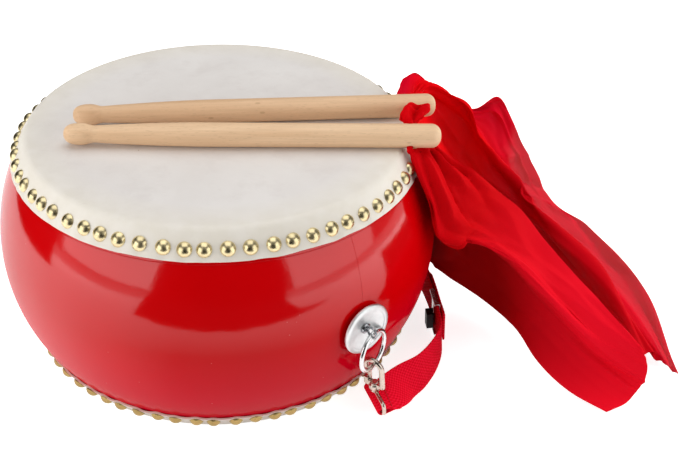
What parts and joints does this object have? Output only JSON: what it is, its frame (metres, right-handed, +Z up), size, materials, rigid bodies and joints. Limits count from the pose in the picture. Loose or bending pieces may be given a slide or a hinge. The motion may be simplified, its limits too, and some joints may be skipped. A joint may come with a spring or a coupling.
{
  "type": "hand drum",
  "caption": "Lacquered barrel hand drum with tacked hide heads, ring pulls, a clip-on carrying strap and beaters with scarves.",
  "frame": {"origin": "centre of the lower head's flat face, on which the drum stands", "axes": "+Z up the barrel; the sticks lie along X on the upper head with their scarves at +X"},
  "size_m": [0.4597, 0.3154, 0.1776],
  "materials": {
    "lacquer": "high-gloss red lacquer over wood",
    "hide": "undyed drum hide, matt, mottled",
    "brass": "polished brass",
    "satin_steel": "satin plated pressed steel",
    "dark_steel": "plain steel wire",
    "bright_steel": "bright nickel-plated steel",
    "nickel": "nickel-plated die casting",
    "webbing": "ribbed red webbing",
    "black_plastic": "glossy black moulded plastic",
    "beech": "plain sanded beech",
    "chiffon": "thin translucent red chiffon"
  },
  "bodies": {
    "drum": {"stave_01": "lacquer", "stave_02": "lacquer", "stave_03": "lacquer", "stave_04": "lacquer", "stave_05": "lacquer", "stave_06": "lacquer", "stave_07": "lacquer", "stave_08": "lacquer", "stave_09": "lacquer", "stave_10": "lacquer", "stave_11": "lacquer", "stave_12": "lacquer", "stave_13": "lacquer", "stave_14": "lacquer", "stave_15": "lacquer", "stave_16": "lacquer", "top_head": "hide", "bottom_head": "hide", "top_tacks": "brass", "bottom_tacks": "brass", "front_ring_plate": "satin_steel", "rear_ring_plate": "satin_steel", "front_split_pin": "dark_steel", "rear_split_pin": "dark_steel", "strap": "webbing"},
    "slider": {"strap_slider": "black_plastic"},
    "front_loop": {"front_strap_loop": "nickel"},
    "front_ring": {"front_ring": "bright_steel"},
    "front_hook": {"front_hook": "nickel", "front_gate_pin": "dark_steel"},
    "front_gate": {"front_gate": "nickel"},
    "front_stick": {"front_stick": "beech", "front_scarf": "chiffon"},
    "rear_loop": {"rear_strap_loop": "nickel"},
    "rear_ring": {"rear_ring": "bright_steel"},
    "rear_hook": {"rear_hook": "nickel", "rear_gate_pin": "dark_steel"},
    "rear_gate": {"rear_gate": "nickel"},
    "rear_stick": {"rear_stick": "beech", "rear_scarf": "chiffon"}
  },
  "joints": [
    {"name": "front_swing", "type": "hinge", "parent": "drum", "child": "front_loop", "pos_m": [0.08842, -0.12865, 0.07355], "axis": [-0.7063, -0.6941, -0.1392], "range_deg": [0, 75], "deforming": ["strap"]},
    {"name": "front_ring_turn", "type": "hinge", "parent": "front_loop", "child": "front_ring", "pos_m": [0.08842, -0.12865, 0.07355], "axis": [-0.0993, -0.0975, 0.9903], "range_deg": [-20, 0]},
    {"name": "front_hook_swivel", "type": "hinge", "parent": "front_loop", "child": "front_hook", "pos_m": [0.09108, -0.12603, 0.04701], "axis": [-0.0993, -0.0975, 0.9903], "range_deg": [-22, 22]},
    {"name": "front_gate_hinge", "type": "hinge", "parent": "front_hook", "child": "front_gate", "pos_m": [0.08873, -0.12084, 0.033], "axis": [0.7063, 0.6941, 0.1392], "range_deg": [0, 30], "stiffness_Nm_per_rad": 0.02, "springref_deg": -9.74},
    {"name": "front_stick_lift", "type": "slide", "parent": "drum", "child": "front_stick", "axis": [0, -0.6, 0.8], "range_m": [0, 0.3]},
    {"name": "rear_swing", "type": "hinge", "parent": "drum", "child": "rear_loop", "pos_m": [-0.08842, 0.12865, 0.07355], "axis": [0.9011, 0.4107, 0.1392], "range_deg": [0, 75], "deforming": ["strap"]},
    {"name": "rear_ring_turn", "type": "hinge", "parent": "rear_loop", "child": "rear_ring", "pos_m": [-0.08842, 0.12865, 0.07355], "axis": [-0.1266, -0.0577, 0.9903], "range_deg": [0, 20]},
    {"name": "rear_hook_swivel", "type": "hinge", "parent": "rear_loop", "child": "rear_hook", "pos_m": [-0.08502, 0.13019, 0.04701], "axis": [-0.1266, -0.0577, 0.9903], "range_deg": [-22, 22]},
    {"name": "rear_gate_hinge", "type": "hinge", "parent": "rear_hook", "child": "rear_gate", "pos_m": [-0.08101, 0.12614, 0.033], "axis": [-0.9011, -0.4107, -0.1392], "range_deg": [0, 30], "stiffness_Nm_per_rad": 0.02, "springref_deg": -9.74},
    {"name": "rear_stick_lift", "type": "slide", "parent": "drum", "child": "rear_stick", "axis": [0, 0.6, 0.8], "range_m": [0, 0.3]},
    {"name": "slider_slide", "type": "slide", "parent": "drum", "child": "slider", "axis": [-0.0082, 0.9996, 0.0282], "range_m": [-0.012, 0.012], "deforming": ["strap"]}
  ]
}
